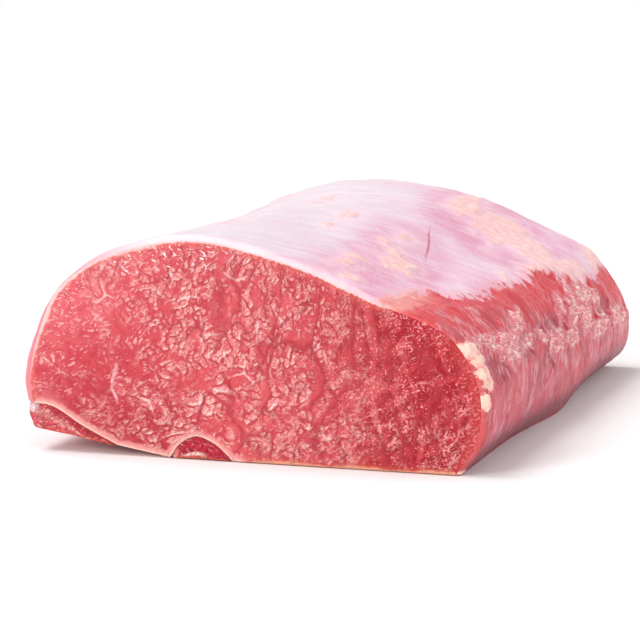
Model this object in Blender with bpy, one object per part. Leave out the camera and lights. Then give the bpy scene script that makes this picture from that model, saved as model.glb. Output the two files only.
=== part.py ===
"""Boneless pork loin: one thick muscle cut square at both ends, lying on its flat underside.

The roast runs along Y, from the near cut at -Y to the far cut at +Y, with Z up. Every section across
it is an outline through named landmarks, which drift from the near cut to the far one, so that the
roast widens and rises along its length. Two thin side muscles lie in grooves of the underside and
run from cut to cut.
"""

import math
from collections import namedtuple

import bmesh
import bpy
from mathutils import Vector, noise

MM = 0.001

# Driving dimensions
LENGTH = 200 * MM
CUT_WIDTH = 137 * MM
CUT_HEIGHT = 64 * MM
EDGE_ROUND = 1.5 * MM
GAP = 0.3 * MM

# The back's sag between the cuts, and the swell of the right side's foot, which stands further in at
# the cuts. The swell has its middle and its spread as shares of the length.
SAG = 2.8 * MM
SWELL = 4.8 * MM
SWELL_AT = 0.52
SWELL_SPREAD = 0.16
TOE_DRAW = 1.3 * MM

# Relief of the surface
SWAY = 0.7 * MM
SWAY_LENGTH = 70 * MM
CUT_BULGE = 1.2 * MM
CUT_RELIEF = 0.7 * MM
CUT_RELIEF_SIZE = 8 * MM
SKIN_STEP = 0.7 * MM
RIDGE_HEIGHT = 1.4 * MM
RIDGE_SPREAD = 4 * MM
LUMP_LENGTH = 9 * MM

# A landmark of the outline on the near cut, and its drift to the far cut. Across is a share of the
# cut's width from the left flank, and up is a share of its height from the underside.
# The back sags between its cuts and the foot of its right side swells out, each landmark by its own share.
Landmark = namedtuple("Landmark", "across up drift_across drift_up sag swell", defaults=(0, 0))

BACK = {
    "mouth": Landmark(0.009, 0.216, -0.009, -0.012),
    "flank": Landmark(0.001, 0.320, -0.009, 0.023),
    "cheek": Landmark(0.020, 0.500, -0.012, 0.062, sag=0.3),
    "temple": Landmark(0.073, 0.727, -0.007, 0.070, sag=0.8),
    "brow": Landmark(0.172, 0.898, -0.004, 0.055, sag=1.0),
    "crown": Landmark(0.365, 0.997, 0.015, 0.053, sag=0.3),
    "slope": Landmark(0.584, 0.916, 0.077, 0.044, sag=-0.4),
    "fall": Landmark(0.759, 0.759, 0.091, 0.038),
    "shoulder": Landmark(0.931, 0.603, 0.066, 0.028),
    "side": Landmark(0.998, 0.375, 0.088, -0.047),
    "skirt": Landmark(1.000, 0.148, 0.082, -0.039, swell=0.3),
    "toe": Landmark(0.963, 0.000, 0.066, 0.000, swell=1.0),
}
SEAM = {
    "mouth": BACK["mouth"],
    "seam_high": Landmark(0.062, 0.206, 0.000, 0.000),
    "seam_low": Landmark(0.135, 0.119, 0.000, 0.000),
    "seam_tip": Landmark(0.212, 0.041, 0.000, 0.000),
}
ARCH = {
    "arch_left": Landmark(0.330, 0.000, 0.000, 0.000),
    "arch_left_side": Landmark(0.352, 0.064, 0.000, 0.000),
    "arch_top": Landmark(0.389, 0.102, 0.000, 0.000),
    "arch_right_side": Landmark(0.434, 0.066, 0.000, 0.000),
    "arch_right": Landmark(0.468, 0.000, 0.000, 0.000),
}

# The strip in the seam hangs clear of the surface below it, at these shares of the cut's height
HEEL_UP = 0.103
HEEL_TIP_UP = 0.039
HEEL_ROUND = 1.4 * MM
STRIP_INSET = 0.35

# Grid of the solids: the underside's columns are counted run by run from the left
SEAM_COLUMNS = 9
BELLY_COLUMNS = 4
ARCH_COLUMNS = 8
FLAT_COLUMNS = 22
COLUMNS = SEAM_COLUMNS + BELLY_COLUMNS + ARCH_COLUMNS + FLAT_COLUMNS
ROWS = 15
STRIP_ROWS = 3
BODY_RINGS = 24
SMOOTHING = 10


def ease(share):
    """Slow start and slow end, from 0 to 1."""
    return share * share * (3 - 2 * share)


def spline_point(p0, p1, p2, p3, share):
    """Point between p1 and p2 on a centripetal Catmull-Rom curve."""
    t1 = (p1 - p0).length ** 0.5
    t2 = t1 + (p2 - p1).length ** 0.5
    t3 = t2 + (p3 - p2).length ** 0.5
    t = t1 + share * (t2 - t1)
    a1 = p0.lerp(p1, t / t1)
    a2 = p1.lerp(p2, (t - t1) / (t2 - t1))
    a3 = p2.lerp(p3, (t - t2) / (t3 - t2))
    b1 = a1.lerp(a2, t / t2)
    b2 = a2.lerp(a3, (t - t1) / (t3 - t1))
    return b1.lerp(b2, share)


def smooth_line(points):
    """Closely spaced points on a smooth curve through the given ones."""
    ends = [2 * points[0] - points[1], *points, 2 * points[-1] - points[-2]]
    line = []
    for index in range(len(points) - 1):
        span = ends[index:index + 4]
        line += [spline_point(*span, step / SMOOTHING) for step in range(SMOOTHING)]
    return line + [points[-1]]


class Path:
    """A polyline that is read by the share of its length."""

    def __init__(self, points):
        self.points = points
        self.reach = [0.0]
        for start, end in zip(points, points[1:]):
            self.reach.append(self.reach[-1] + (end - start).length)

    def at(self, share):
        distance = share * self.reach[-1]
        index = 1
        while index < len(self.points) - 1 and self.reach[index] < distance:
            index += 1
        run = self.reach[index] - self.reach[index - 1]
        return self.points[index - 1].lerp(self.points[index], (distance - self.reach[index - 1]) / run)


class Section:
    """The outline across the roast at one share of its length, and the smooth patch that fills it."""

    def __init__(self, along):
        back = [self.place(mark, along, index) for index, mark in enumerate(BACK.values())]
        line = smooth_line(back)
        names = list(BACK)
        temple = names.index("temple") * SMOOTHING
        shoulder = names.index("shoulder") * SMOOTHING
        self.left = Path(line[:temple + 1])
        self.top = Path(line[temple:shoulder + 1])
        self.right = Path(line[:shoulder - 1:-1])
        seam = [back[0]] + [self.place(mark, along) for mark in list(SEAM.values())[1:]]
        arch = [self.place(mark, along) for mark in ARCH.values()]
        self.under = [
            (Path(smooth_line(seam)), SEAM_COLUMNS),
            (Path([seam[-1], arch[0]]), BELLY_COLUMNS),
            (Path(smooth_line(arch)), ARCH_COLUMNS),
            (Path([arch[-1], back[-1]]), FLAT_COLUMNS),
        ]

    @staticmethod
    def place(mark, along, sway_index=None):
        """Where a landmark lies in this section, in metres across and up."""
        across = (mark.across + mark.drift_across * along) * CUT_WIDTH
        across += mark.swell * (SWELL * math.exp(-((along - SWELL_AT) / SWELL_SPREAD) ** 2) - TOE_DRAW)
        up = (mark.up + mark.drift_up * ease(along)) * CUT_HEIGHT
        up -= mark.sag * SAG * math.sin(math.pi * along)
        if sway_index is not None and mark.up > 0:
            spot = Vector((along * LENGTH / SWAY_LENGTH, 3.7 * sway_index, 0))
            across += SWAY * noise.noise(spot)
            up += SWAY * noise.noise(spot + Vector((0, 0, 5)))
        return Vector((across, up))

    def under_at(self, share):
        """Point on the underside, where each run of columns takes its own stretch."""
        column = share * COLUMNS
        for path, columns in self.under:
            if column <= columns:
                break
            column -= columns
        return path.at(min(column / columns, 1.0))

    def at(self, across, up):
        """Point of the patch, with both shares from 0 to 1."""
        under, top = self.under_at(across), self.top.at(across)
        left, right = self.left.at(up), self.right.at(up)
        walls = (1 - up) * under + up * top + (1 - across) * left + across * right
        low = (1 - across) * self.under_at(0) + across * self.under_at(1)
        high = (1 - across) * self.top.at(0) + across * self.top.at(1)
        return walls - (1 - up) * low - up * high


def ring_places():
    """Distances of the rings from the near cut, closer together over the rounded edges."""
    edge = [0.0, 0.3 * EDGE_ROUND, EDGE_ROUND]
    run = LENGTH - 2 * EDGE_ROUND
    middle = [EDGE_ROUND + run * ring / BODY_RINGS for ring in range(1, BODY_RINGS)]
    return edge + middle + [LENGTH - place for place in reversed(edge)]


RING_PLACES = ring_places()
SECTIONS = [Section(place / LENGTH) for place in RING_PLACES]


def edge_inset(place):
    """How far a ring draws in, to round the edge of a cut."""
    from_cut = min(place, LENGTH - place)
    if from_cut >= EDGE_ROUND:
        return 0.0
    lean = 1 - from_cut / EDGE_ROUND
    return EDGE_ROUND * (1 - math.sqrt(1 - lean * lean))


def grid_block(columns, rows):
    """A block of unit size, divided into columns across, rows up and one ring for each place."""
    bm = bmesh.new()
    bmesh.ops.create_grid(bm, x_segments=columns, y_segments=rows, size=0.5)
    for vert in bm.verts:
        vert.co = Vector((vert.co.x + 0.5, 0, vert.co.y + 0.5))
    far = bmesh.ops.extrude_face_region(bm, geom=bm.faces[:])["geom"]
    far_verts = [item for item in far if isinstance(item, bmesh.types.BMVert)]
    bmesh.ops.translate(bm, verts=far_verts, vec=(0, 1, 0))
    long_edges = [edge for edge in bm.edges if abs(edge.verts[0].co.y - edge.verts[1].co.y) > 0.5]
    bmesh.ops.subdivide_edges(bm, edges=long_edges, cuts=len(RING_PLACES) - 2, use_grid_fill=True)
    bmesh.ops.recalc_face_normals(bm, faces=bm.faces)
    return bm


def ring_index(vert):
    return round(vert.co.y * (len(RING_PLACES) - 1))


def cut_relief(across, up, point):
    """Height of a cut's surface: a soft bulge with low lumps, flat at its rim."""
    rim = (1 - (2 * across - 1) ** 2) * (1 - (2 * up - 1) ** 2)
    lumps = noise.fractal(Vector((point.x, point.y, 0)) / CUT_RELIEF_SIZE, 0.6, 2.0, 2)
    return CUT_BULGE * rim + CUT_RELIEF * lumps * min(1, 6 * rim)


def skin_edge(along):
    """Height, as a share of the cut's, at which the silverskin gives way to bare side muscle."""
    ragged = noise.noise(Vector((along * LENGTH / LUMP_LENGTH, 0, 2)))
    return 0.72 - 0.10 * ease(along) + 0.05 * ragged


def fat_ridge(along):
    """Height of the lumpy fat line that runs along the right side below the silverskin."""
    return 0.56 - 0.06 * math.sin(math.pi * along)


def side_relief(along, point):
    """Relief of the back and right side: the silverskin's step and the fat line's lumps."""
    up = point.y / CUT_HEIGHT
    if point.x < 0.5 * CUT_WIDTH:
        return SKIN_STEP
    step = SKIN_STEP * ease(min(1, max(0, (up - skin_edge(along)) * 12 + 0.5)))
    off_line = (up - fat_ridge(along)) * CUT_HEIGHT / RIDGE_SPREAD
    lumps = 0.6 + 0.8 * noise.noise(Vector((along * LENGTH / LUMP_LENGTH, 0, 9)))
    return step + RIDGE_HEIGHT * max(0, lumps) * math.exp(-off_line * off_line)


def loin_mesh():
    """The main muscle: the block's grid laid on the sections, then its relief."""
    bm = grid_block(COLUMNS, ROWS)
    reliefs = {}
    for vert in bm.verts:
        across, up, ring = vert.co.x, vert.co.z, ring_index(vert)
        place = RING_PLACES[ring]
        inset = edge_inset(place)
        point = SECTIONS[ring].at(
            across + (1 - 2 * across) * inset / CUT_WIDTH,
            up + (1 - 2 * up) * inset / CUT_HEIGHT,
        )
        y = place
        if ring in (0, len(RING_PLACES) - 1):
            outward = 1 if ring else -1
            y += outward * cut_relief(across, up, point)
        elif up > 0.01:
            reliefs[vert] = side_relief(place / LENGTH, point) * min(1, (EDGE_ROUND - inset) / EDGE_ROUND)
        vert.co = (point.x, y, point.y)
    bm.normal_update()
    for vert, height in reliefs.items():
        vert.co += vert.normal * height
    return bm


def strip_mesh(columns, rows, low_at, high_at, bulge):
    """A long strip between a low and a high line, which are given by section and column."""
    bm = grid_block(columns, rows)
    for vert in bm.verts:
        column, up, ring = round(vert.co.x * columns), vert.co.z, ring_index(vert)
        section, place = SECTIONS[ring], RING_PLACES[ring]
        point = low_at(section, column).lerp(high_at(section, column), up)
        if column == 0:
            point.x -= bulge * math.sin(math.pi * up)
        middle = low_at(section, columns // 2).lerp(high_at(section, columns // 2), 0.5)
        inward = middle - point
        inset = min(STRIP_INSET * edge_inset(place), STRIP_INSET * inward.length)
        point += inward.normalized() * inset
        vert.co = (point.x, place, point.y)
    return bm


def edge_strip_mesh():
    """The wedge of dark meat under the left edge, which closes the seam from mouth to tip."""
    columns = SEAM_COLUMNS - 1

    def high_at(section, column):
        return section.under_at(column / COLUMNS) - Vector((0, 1.25 * GAP))

    def low_at(section, column):
        share = column / columns
        tip = high_at(section, columns)
        start = high_at(section, 0)
        heel = Vector((start.x + HEEL_ROUND, HEEL_UP * CUT_HEIGHT))
        return heel.lerp(Vector((tip.x, HEEL_TIP_UP * CUT_HEIGHT)), share)

    return strip_mesh(columns, STRIP_ROWS, low_at, high_at, HEEL_ROUND / 2)


def middle_strip_mesh():
    """The lens of dark meat under the arch, flat where it rests."""
    columns = ARCH_COLUMNS - 2
    first = SEAM_COLUMNS + BELLY_COLUMNS + 1

    def high_at(section, column):
        return section.under_at((first + column) / COLUMNS) - Vector((0, 1.6 * GAP))

    def low_at(section, column):
        return Vector((high_at(section, column).x, 0))

    return strip_mesh(columns, STRIP_ROWS - 1, low_at, high_at, 0)


def meat(name, colour, roughness):
    """A plain wet-meat material."""
    material = bpy.data.materials.new(name)
    material.use_nodes = True
    shader = material.node_tree.nodes["Principled BSDF"]
    shader.inputs["Base Color"].default_value = (*colour, 1)
    shader.inputs["Roughness"].default_value = roughness
    shader.inputs["Metallic"].default_value = 0
    material.diffuse_color = (*colour, 1)
    return material


def box_centre(shapes):
    """Middle of the box round all the shapes, at the height of its base."""
    points = [vert.co for bm in shapes for vert in bm.verts]
    low = [min(point[axis] for point in points) for axis in range(3)]
    high = [max(point[axis] for point in points) for axis in range(3)]
    return Vector(((low[0] + high[0]) / 2, (low[1] + high[1]) / 2, low[2]))


def add_piece(name, bm, material, collection):
    """Makes one named object from a finished mesh."""
    bmesh.ops.recalc_face_normals(bm, faces=bm.faces)
    mesh = bpy.data.meshes.new(name)
    bm.to_mesh(mesh)
    bm.free()
    mesh.materials.append(material)
    mesh.shade_smooth()
    piece = bpy.data.objects.new(name, mesh)
    collection.objects.link(piece)


def main():
    for item in list(bpy.data.objects):
        bpy.data.objects.remove(item)
    collection = bpy.data.collections.new("boneless_pork_loin")
    bpy.context.scene.collection.children.link(collection)
    pieces = {
        "loin": (loin_mesh(), meat("lean", (0.62, 0.13, 0.14), 0.35)),
        "finger_strip_edge": (edge_strip_mesh(), meat("dark_lean", (0.42, 0.05, 0.07), 0.35)),
        "finger_strip_middle": (middle_strip_mesh(), meat("deep_lean", (0.38, 0.04, 0.06), 0.35)),
    }
    centre = box_centre([bm for bm, _ in pieces.values()])
    for name, (bm, material) in pieces.items():
        bmesh.ops.translate(bm, verts=bm.verts, vec=-centre)
        add_piece(name, bm, material, collection)


main()
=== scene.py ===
"""Looks of a raw boneless pork loin: the fine surface of the roast and its two side muscles, the
materials of cut meat, silverskin and fat, and the white stage with its camera.

The sections across the roast are the ones that its solids are made from. A fine grid is laid on
them, the cut faces get their muscle bundles as real relief, and the back gets its silverskin,
its fat and its bare side muscle.
"""

import math
from collections import namedtuple

import bmesh
import bpy
import numpy as np
from bpy.props import FloatProperty, FloatVectorProperty, PointerProperty
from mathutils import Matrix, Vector, noise


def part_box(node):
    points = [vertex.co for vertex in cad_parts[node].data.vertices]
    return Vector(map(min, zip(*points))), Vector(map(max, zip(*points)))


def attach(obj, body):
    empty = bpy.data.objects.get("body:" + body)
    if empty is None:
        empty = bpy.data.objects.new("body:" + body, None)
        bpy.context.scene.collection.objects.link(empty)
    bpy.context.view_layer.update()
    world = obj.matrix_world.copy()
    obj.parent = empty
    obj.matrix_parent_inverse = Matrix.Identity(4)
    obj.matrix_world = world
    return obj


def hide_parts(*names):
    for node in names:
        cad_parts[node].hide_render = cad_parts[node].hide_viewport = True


bl_info = {
    "name": "Boneless Pork Loin",
    "version": (1, 0, 0),
    "blender": (4, 5, 0),
    "location": "3D View > Sidebar > Loin",
    "description": "Models a raw boneless pork loin roast on a white stage",
    "category": "Object",
}

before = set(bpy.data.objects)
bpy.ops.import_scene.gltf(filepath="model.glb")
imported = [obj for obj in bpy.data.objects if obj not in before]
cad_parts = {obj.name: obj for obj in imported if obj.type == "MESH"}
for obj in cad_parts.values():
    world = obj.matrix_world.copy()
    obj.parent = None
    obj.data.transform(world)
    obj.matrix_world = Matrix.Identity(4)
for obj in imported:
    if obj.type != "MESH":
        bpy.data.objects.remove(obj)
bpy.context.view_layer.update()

MM = 0.001

# Sizes of the roast, as its solids have them
LENGTH = 200 * MM
CUT_WIDTH = 137 * MM
CUT_HEIGHT = 64 * MM
EDGE_ROUND = 1.5 * MM
GAP = 0.06 * MM
SWAY = 0.7 * MM
SWAY_LENGTH = 70 * MM
CUT_BULGE = 1.2 * MM
SAG = 2.8 * MM
SWELL = 4.8 * MM
SWELL_AT = 0.52
SWELL_SPREAD = 0.16
TOE_DRAW = 1.3 * MM

# A landmark of the outline on the near cut, and its drift to the far cut. Across is a share of the
# cut's width from the left flank, and up is a share of its height from the underside.
# The back sags between its cuts and the foot of its right side swells out, each landmark by a share.
Landmark = namedtuple("Landmark", "across up drift_across drift_up sag swell", defaults=(0, 0))

BACK = {
    "mouth": Landmark(0.009, 0.216, -0.009, -0.012),
    "flank": Landmark(0.001, 0.320, -0.009, 0.023),
    "cheek": Landmark(0.020, 0.500, -0.012, 0.062, sag=0.3),
    "temple": Landmark(0.073, 0.727, -0.007, 0.070, sag=0.8),
    "brow": Landmark(0.172, 0.898, -0.004, 0.055, sag=1.0),
    "crown": Landmark(0.365, 0.997, 0.015, 0.053, sag=0.3),
    "slope": Landmark(0.584, 0.916, 0.077, 0.044, sag=-0.4),
    "fall": Landmark(0.759, 0.759, 0.091, 0.038),
    "shoulder": Landmark(0.931, 0.603, 0.066, 0.028),
    "side": Landmark(0.998, 0.375, 0.088, -0.047),
    "skirt": Landmark(1.000, 0.148, 0.082, -0.039, swell=0.3),
    "toe": Landmark(0.963, 0.000, 0.066, 0.000, swell=1.0),
}
SEAM = {
    "mouth": BACK["mouth"],
    "seam_high": Landmark(0.062, 0.206, 0.000, 0.000),
    "seam_low": Landmark(0.135, 0.119, 0.000, 0.000),
    "seam_tip": Landmark(0.212, 0.041, 0.000, 0.000),
}
ARCH = {
    "arch_left": Landmark(0.330, 0.000, 0.000, 0.000),
    "arch_left_side": Landmark(0.352, 0.064, 0.000, 0.000),
    "arch_top": Landmark(0.389, 0.102, 0.000, 0.000),
    "arch_right_side": Landmark(0.434, 0.066, 0.000, 0.000),
    "arch_right": Landmark(0.468, 0.000, 0.000, 0.000),
}
# Shares of the underside's columns that its runs take, from the left: seam, belly, arch and flat
UNDER_RUNS = (9 / 43, 4 / 43, 8 / 43, 22 / 43)

# The two strips: shares of the underside that they lie under, and the edge strip's own base. The
# middle strip's solid is a little narrower than the strip that shows.
LAST_EDGE = 8.7 / 43
MIDDLE_SOLID = (14 / 43, 20 / 43)
MIDDLE_SHOWN = (13.3 / 43, 20.7 / 43)
HEEL_UP = 0.103
HEEL_TIP_UP = 0.039
HEEL_ROUND = 1.4 * MM
STRIP_INSET = 0.35
STRIP_COLUMNS = 30
STRIP_ROWS = 10

# Grid of the fine surface, before its cut faces are divided once more
COLUMNS = 120
ROWS = 50
BODY_RINGS = 130
SMOOTHING = 16

# The lower edges of a cut are rounded by this share of its other edges
UNDER_ROUND = 0.12

# Relief of the outside in millimetres: silverskin and fat stand out, and torn windows lie deeper
SKIN_RISE = 0.6
FAT_RISE = 0.45
LUMP_RISE = 1.6
WINDOW_DROP = 0.5
WRINKLE_RISE = 0.3
SIDE_GRAIN_RISE = 0.12

# Sizes in millimetres of the ragged relief and the fine lumps, and how near a cut the relief fades
RAGGED_SIZE = 7
FINE_LUMP_SIZE = 2.4
CRUMBS_FADE = 10
RELIEF_FADE = 2

# Depth of every region of the outside on the underside, which none of them reaches
OFF_THE_OUTSIDE = -20

# The muscle bundles of a cut fan out from a point above the roast, and stand out as low domes
FAN_ACROSS = 88 * MM
FAN_UP = 130 * MM
BUNDLE_LENGTH = 25 * MM
BUNDLE_WIDTH = 11 * MM
BUNDLE_FLANK = 2.2 * MM

# How far the bundles' edges wander down and across the fan, and how long their bends are
WANDER_DOWN = 5 * MM
WANDER_ACROSS = 2.6 * MM
WANDER_SIZE = 13 * MM
BARE_PATCH_SIZE = 14 * MM

# Size and height of the softer relief of a cut
LUMP_SIZE = 6.5 * MM
LUMP_HEIGHT = 0.24 * MM
BUMP_SIZE = 3.6 * MM
BUMP_HEIGHT = 0.30 * MM

# The step down and across the fan towards its light, and the rise over it that is fully lit
LIT_STEP = np.array((-0.7 * MM, -0.5 * MM, 0))
LIT_RISE = 0.10 * MM

# Start and length of the ramps over which a cut's relief comes in or eases off
BUNDLES_COME = (38 * MM, 36 * MM)
BUNDLES_EASE = (96 * MM, 20 * MM)
UPPER_PART = (14 * MM, 14 * MM)
BUNDLES_NARROW = (5 * MM, 40 * MM)
LUMPS_GROW = (22 * MM, 30 * MM)
BUMPS_COME = (60 * MM, 34 * MM)

# Grain of a strip's ends and of its left side, in millimetres
STRIP_CUT_GRAIN = 0.35
STRIP_SIDE_GRAIN = 0.25


# Outline and sections


def ease(share):
    """Slow start and slow end, from 0 to 1."""
    share = np.clip(share, 0, 1)
    return share * share * (3 - 2 * share)


def ramp(value, start, length):
    """Slow rise from 0 at the start to 1 a length further on."""
    return ease((value - start) / length)


def spline_point(p0, p1, p2, p3, share):
    """Points between p1 and p2 on a centripetal Catmull-Rom curve."""
    def between(a, b, weight):
        return a + (b - a) * weight

    t1 = np.linalg.norm(p1 - p0) ** 0.5
    t2 = t1 + np.linalg.norm(p2 - p1) ** 0.5
    t3 = t2 + np.linalg.norm(p3 - p2) ** 0.5
    share = share[:, None]
    t = t1 + share * (t2 - t1)
    a1 = between(p0, p1, t / t1)
    a2 = between(p1, p2, (t - t1) / (t2 - t1))
    a3 = between(p2, p3, (t - t2) / (t3 - t2))
    b1 = between(a1, a2, t / t2)
    b2 = between(a2, a3, (t - t1) / (t3 - t1))
    return between(b1, b2, share)


def smooth_line(points):
    """Closely spaced points on a smooth curve through the given ones."""
    points = np.array(points)
    ends = np.vstack([2 * points[0] - points[1], points, 2 * points[-1] - points[-2]])
    steps = np.arange(SMOOTHING) / SMOOTHING
    spans = [spline_point(*ends[index:index + 4], steps) for index in range(len(points) - 1)]
    return np.vstack([*spans, points[-1:]])


class Path:
    """A polyline that is read by the share of its length."""

    def __init__(self, points):
        self.points = np.array(points)
        steps = np.linalg.norm(np.diff(self.points, axis=0), axis=1)
        self.reach = np.concatenate([[0], np.cumsum(steps)])
        self.length = self.reach[-1]

    def at(self, share):
        distance = np.asarray(share) * self.length
        across = np.interp(distance, self.reach, self.points[:, 0])
        up = np.interp(distance, self.reach, self.points[:, 1])
        return np.stack([across, up], -1)


class Section:
    """The outline across the roast at one share of its length, and the smooth patch that fills it."""

    def __init__(self, along):
        back = [self.place(mark, along, index) for index, mark in enumerate(BACK.values())]
        line = smooth_line(back)
        names = list(BACK)
        temple = names.index("temple") * SMOOTHING
        shoulder = names.index("shoulder") * SMOOTHING
        self.left = Path(line[:temple + 1])
        self.top = Path(line[temple:shoulder + 1])
        self.right = Path(line[:shoulder - 1:-1])
        self.girth = self.left.length + self.top.length + self.right.length
        seam = [back[0]] + [self.place(mark, along) for mark in list(SEAM.values())[1:]]
        arch = [self.place(mark, along) for mark in ARCH.values()]
        self.under = [
            Path(smooth_line(seam)),
            Path([seam[-1], arch[0]]),
            Path(smooth_line(arch)),
            Path([arch[-1], back[-1]]),
        ]

    @staticmethod
    def place(mark, along, sway_index=None):
        """Where a landmark lies in this section, in metres across and up."""
        across = (mark.across + mark.drift_across * along) * CUT_WIDTH
        across += mark.swell * (SWELL * math.exp(-((along - SWELL_AT) / SWELL_SPREAD) ** 2) - TOE_DRAW)
        up = (mark.up + mark.drift_up * ease(along)) * CUT_HEIGHT
        up -= mark.sag * SAG * math.sin(math.pi * along)
        if sway_index is not None and mark.up > 0:
            spot = Vector((along * LENGTH / SWAY_LENGTH, 3.7 * sway_index, 0))
            across += SWAY * noise.noise(spot)
            up += SWAY * noise.noise(spot + Vector((0, 0, 5)))
        return np.array((across, up))

    def under_at(self, share):
        """Points on the underside, where each run of columns takes its own stretch."""
        share = np.asarray(share, float)
        point = self.under[0].at(0) * np.ones(share.shape + (2,))
        start = 0
        for path, run in zip(self.under, UNDER_RUNS):
            inside = share > start
            point[inside] = path.at(np.clip((share[inside] - start) / run, 0, 1))
            start += run
        return point

    def at(self, across, up):
        """Points of the patch, with both shares from 0 to 1."""
        under, top = self.under_at(across), self.top.at(across)
        left, right = self.left.at(up), self.right.at(up)
        a, u = across[:, None], up[:, None]
        walls = (1 - u) * under + u * top + (1 - a) * left + a * right
        low = (1 - a) * self.left.at(0) + a * self.right.at(0)
        high = (1 - a) * self.top.at(0) + a * self.top.at(1)
        return walls - (1 - u) * low - u * high

    def girth_at(self, across, up):
        """How far round the back a point of the outline lies, from the seam's mouth to the toe."""
        on_top = self.left.length + across * self.top.length
        on_left = up * self.left.length
        on_right = self.girth - up * self.right.length
        return np.where(up > 0.999, on_top, np.where(across < 0.5, on_left, on_right))


def ring_places():
    """Distances of the rings from the near cut, closer together over the rounded edges."""
    edge = EDGE_ROUND * np.array([0, 0.12, 0.4, 1])
    middle = np.linspace(EDGE_ROUND, LENGTH - EDGE_ROUND, BODY_RINGS + 1)[1:-1]
    return np.concatenate([edge, middle, LENGTH - edge[::-1]])


def edge_inset(place):
    """How far a ring draws in, to round the edge of a cut."""
    lean = np.clip(1 - np.minimum(place, LENGTH - place) / EDGE_ROUND, 0, 1)
    return EDGE_ROUND * (1 - np.sqrt(1 - lean * lean))


def grid_block(columns, rows, rings):
    """A block of unit size, divided into columns across, rows up and rings along."""
    bm = bmesh.new()
    bmesh.ops.create_grid(bm, x_segments=columns, y_segments=rows, size=0.5)
    for vert in bm.verts:
        vert.co = Vector((vert.co.x + 0.5, 0, vert.co.y + 0.5))
    far = bmesh.ops.extrude_face_region(bm, geom=bm.faces[:])["geom"]
    far_verts = [item for item in far if isinstance(item, bmesh.types.BMVert)]
    bmesh.ops.translate(bm, verts=far_verts, vec=(0, 1, 0))
    long_edges = [edge for edge in bm.edges if abs(edge.verts[0].co.y - edge.verts[1].co.y) > 0.5]
    bmesh.ops.subdivide_edges(bm, edges=long_edges, cuts=rings - 1, use_grid_fill=True)
    bmesh.ops.recalc_face_normals(bm, faces=bm.faces)
    return bm


# Fields over the surface, each an array with one value for each vertex


def heights(points, scale, octaves=3, shift=0.0):
    """Fractal noise at the points, with its largest bumps about as long as scale."""
    offset = Vector((shift, shift, shift))
    return np.array([noise.fractal(Vector(p) / scale + offset, 0.8, 2.0, octaves) for p in points])


def fan(across, up):
    """Distance from the fan's centre, and the arc across it: the bundles run along the first."""
    out, down = across - FAN_ACROSS, FAN_UP - up
    reach = np.hypot(out, down)
    return reach, np.arctan2(out, down) * FAN_UP * 0.75


def along_line(knots, place):
    """Value at each place on a smooth line through (place, value) knots."""
    xs, ys = zip(*knots)
    line = smooth_line([np.array((x, y), float) for x, y in zip(xs, ys)])
    return np.interp(place, line[:, 0], line[:, 1])


# Features of the outside, placed by distance along from the near cut and girth from the seam's mouth

Blot = namedtuple("Blot", "along girth half_along half_girth turn")


def blots(*rows):
    """Ovals on the outside: their middles, their half sizes in millimetres and their turns in degrees."""
    return [Blot(*row) for row in rows]


# Lower edge of the silverskin, upper edge of the film on the side, and upper edge of its foot, painted
# dark as shade
SKIN_EDGE = [
    (0, 142), (24, 143), (34, 145), (40, 151), (65, 158.5), (78, 158),
    (100, 164), (120, 164.5), (131, 170), (150, 180), (175, 182.5), (200, 181),
]
FILM_EDGE = [(0, 181), (40, 183), (80, 190), (120, 195), (160, 200), (200, 203)]
FOOT_EDGE = [(0, 195), (40, 196.5), (75, 200), (120, 204.5), (175, 209), (200, 212)]

# Fat on the silverskin
FAT_PATCHES = blots(
    (164, 130, 19, 6, 0), (155, 144, 22, 9, 0), (167, 146, 12, 8, 0), (149, 157, 15, 9, 0),
    (140, 165, 13, 6, 0), (122, 164, 13, 2.8, 6), (152, 174, 16, 5, 12), (192, 176, 12, 4, -10),
    (186, 128, 12, 4, 10),
)
FAT_FLECKS = blots(
    (9, 128, 5, 4, 0), (27, 121.5, 11, 2.6, 3), (46, 132, 9, 5.5, 0), (56, 128, 6, 2.6, -15),
    (64, 122, 4, 2, 0), (61, 104, 4, 2, 0), (86, 104, 9, 3, 0), (78, 125, 5, 2.4, 0),
    (94, 157, 4, 1.8, -20), (128, 147, 5, 1.6, 0), (134, 139, 4, 2, 0), (114, 161, 6, 1.6, 0),
    (120, 88, 12, 3, 0), (40, 76, 9, 4, 10), (165, 60, 10, 5, -15), (90, 42, 14, 4, 5),
    (150, 22, 18, 6, -5), (35, 20, 12, 5, 8), (75, 12, 12, 4, 0),
)
# Crumbly fat and torn film on the side
CRUMBS = blots(
    (14, 167, 7, 1.8, 0), (27, 169.5, 8, 2.2, 4), (38, 174, 11, 4.6, 6), (54, 171.5, 7, 2.2, -8),
    (63, 170, 6, 2.4, -10), (62, 176.5, 7, 1.6, 0), (80, 180, 6, 2.4, 14), (92, 185, 10, 3.2, 6),
    (108, 187, 9, 2.8, 4), (112, 178, 7, 2.6, -30), (124, 181.5, 9, 3.6, -15), (134, 188, 9, 4.2, 0),
    (150, 194.5, 14, 3.2, 6), (158, 187, 8, 2.8, 0), (146, 182, 12, 3.8, 12), (178, 198, 12, 2.6, 4),
    (192, 201, 8, 2, 4), (36, 159, 2, 1.2, 0),
)
# Deep red where the film is torn, and bright red where the muscle is bare
DARK_WINDOWS = blots(
    (18, 176.5, 10, 4, 4), (58, 177, 10, 3.4, -4), (91, 180, 16, 3, 5), (70, 188, 13, 4, -10),
    (166, 190, 9, 4, 8),
)
BRIGHT_MUSCLE = blots(
    (110, 172, 24, 7, 6), (182, 189, 22, 7, 2), (12, 150, 20, 9, 0), (72, 160, 7, 2.4, 0),
)
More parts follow.
